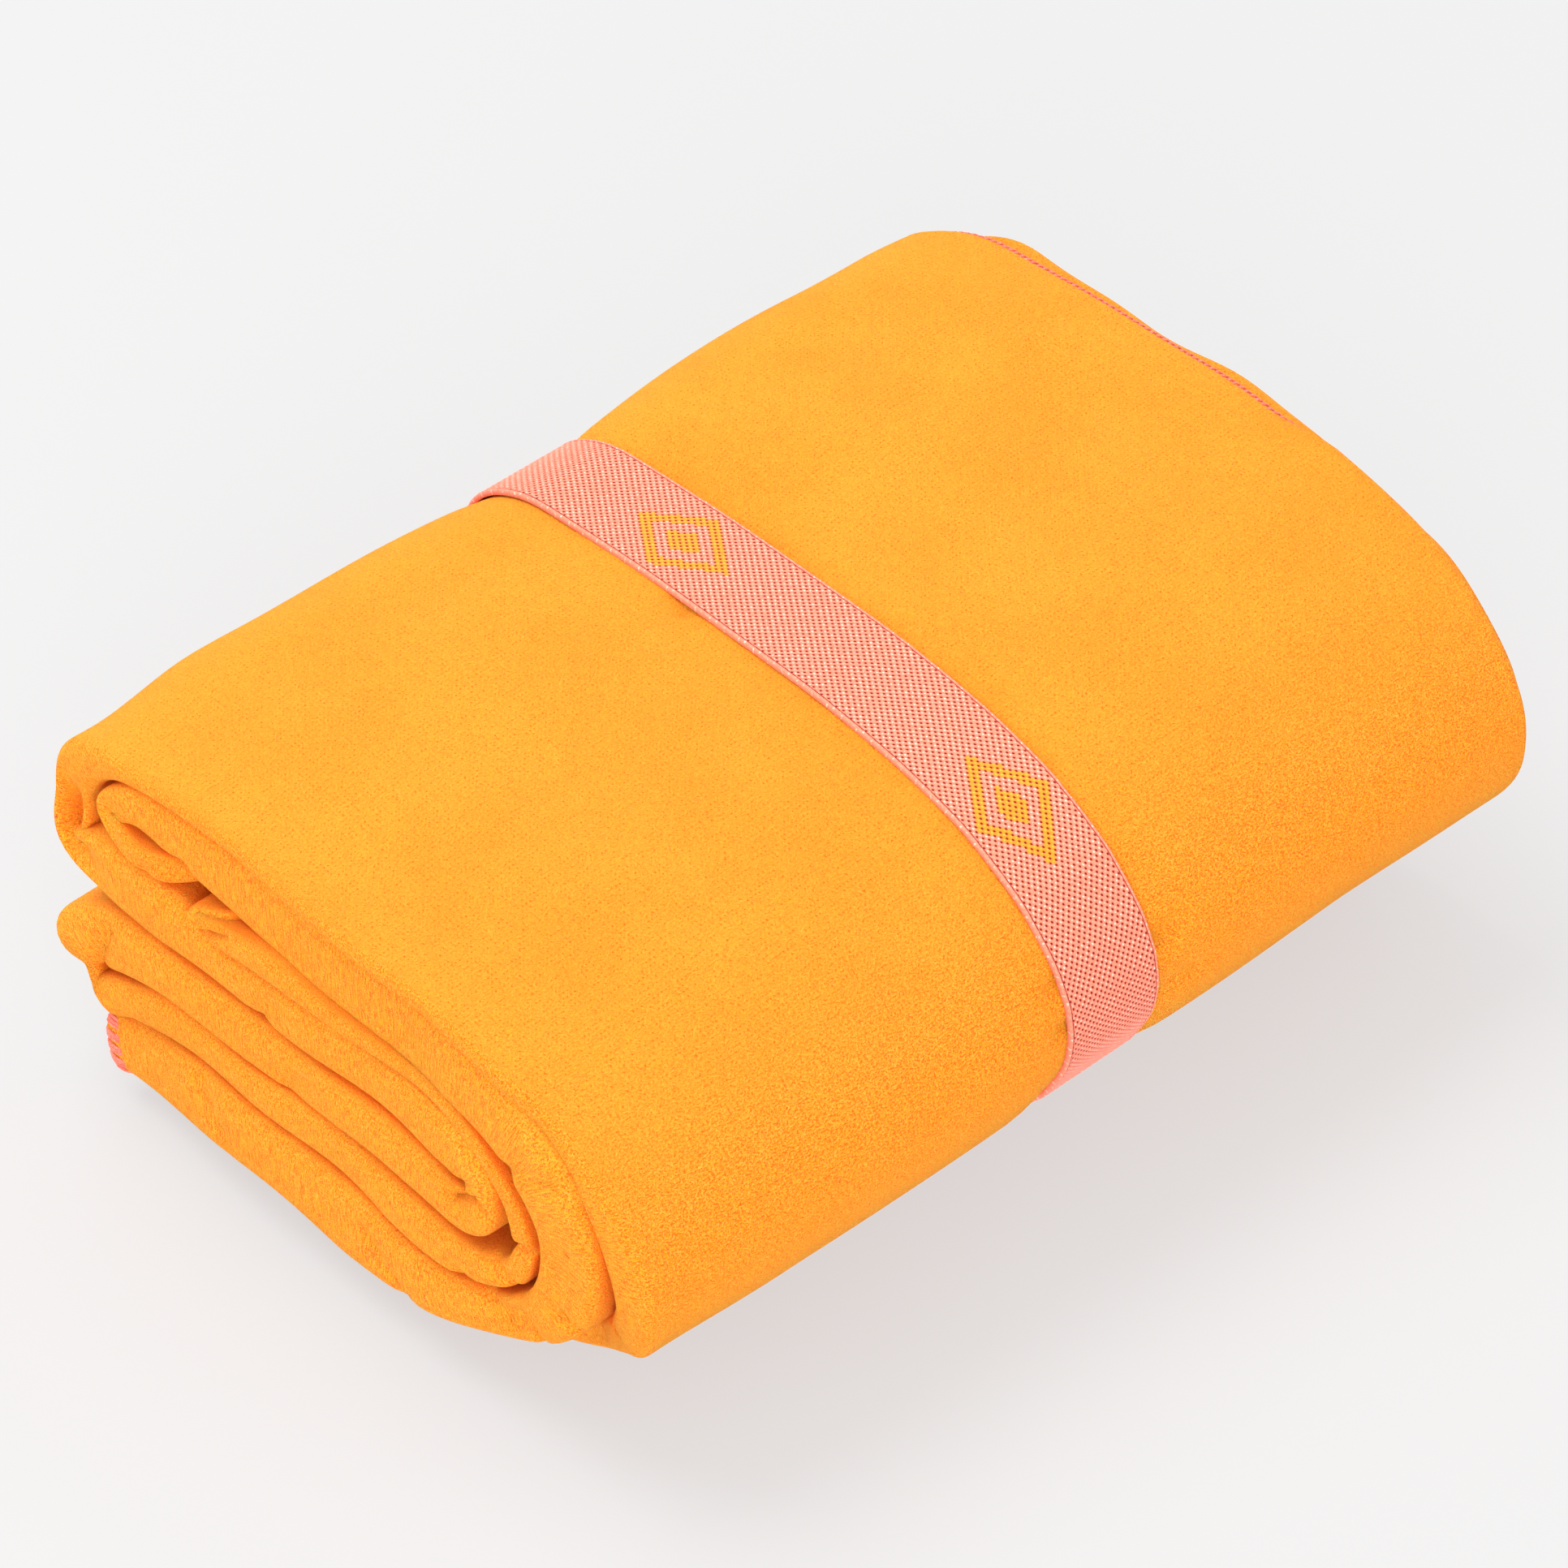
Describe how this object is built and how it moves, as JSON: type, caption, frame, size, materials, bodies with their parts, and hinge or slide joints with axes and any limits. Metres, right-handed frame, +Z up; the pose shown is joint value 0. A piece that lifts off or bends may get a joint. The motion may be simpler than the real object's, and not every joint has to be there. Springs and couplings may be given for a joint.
{
  "type": "quick dry towel",
  "caption": "Microfibre travel towel folded to a thick strip, rolled flat into a rounded block and held by a wide woven elastic band that slides off.",
  "frame": {"origin": "middle of the roll's length and width, on the surface that it lies on", "axes": "+Y along the roll away from its folded end, +X to the rounded side, +Z up"},
  "size_m": [0.158, 0.2, 0.0882],
  "materials": {
    "cloth": "brushed microfibre suede, yellow-orange, matt with a soft nap",
    "overlock_thread": "coral overlock thread",
    "elastic": null,
    "tack_thread": "coral bar tack thread"
  },
  "bodies": {
    "towel": {"towel_cloth": "cloth", "hem_long_edge_outer_ply": "overlock_thread", "hem_long_edge_inner_ply": "overlock_thread", "hem_short_edge_visible_end": "overlock_thread", "hem_short_edge_hidden_end": "overlock_thread"},
    "band": {"elastic_band": "elastic", "elastic_band_lap": "elastic", "bar_tack_upper": "tack_thread", "bar_tack_lower": "tack_thread"}
  },
  "joints": [
    {"name": "band_slide", "type": "slide", "parent": "towel", "child": "band", "axis": [0, 1, 0], "range_m": [-0.12, 0.12]}
  ]
}
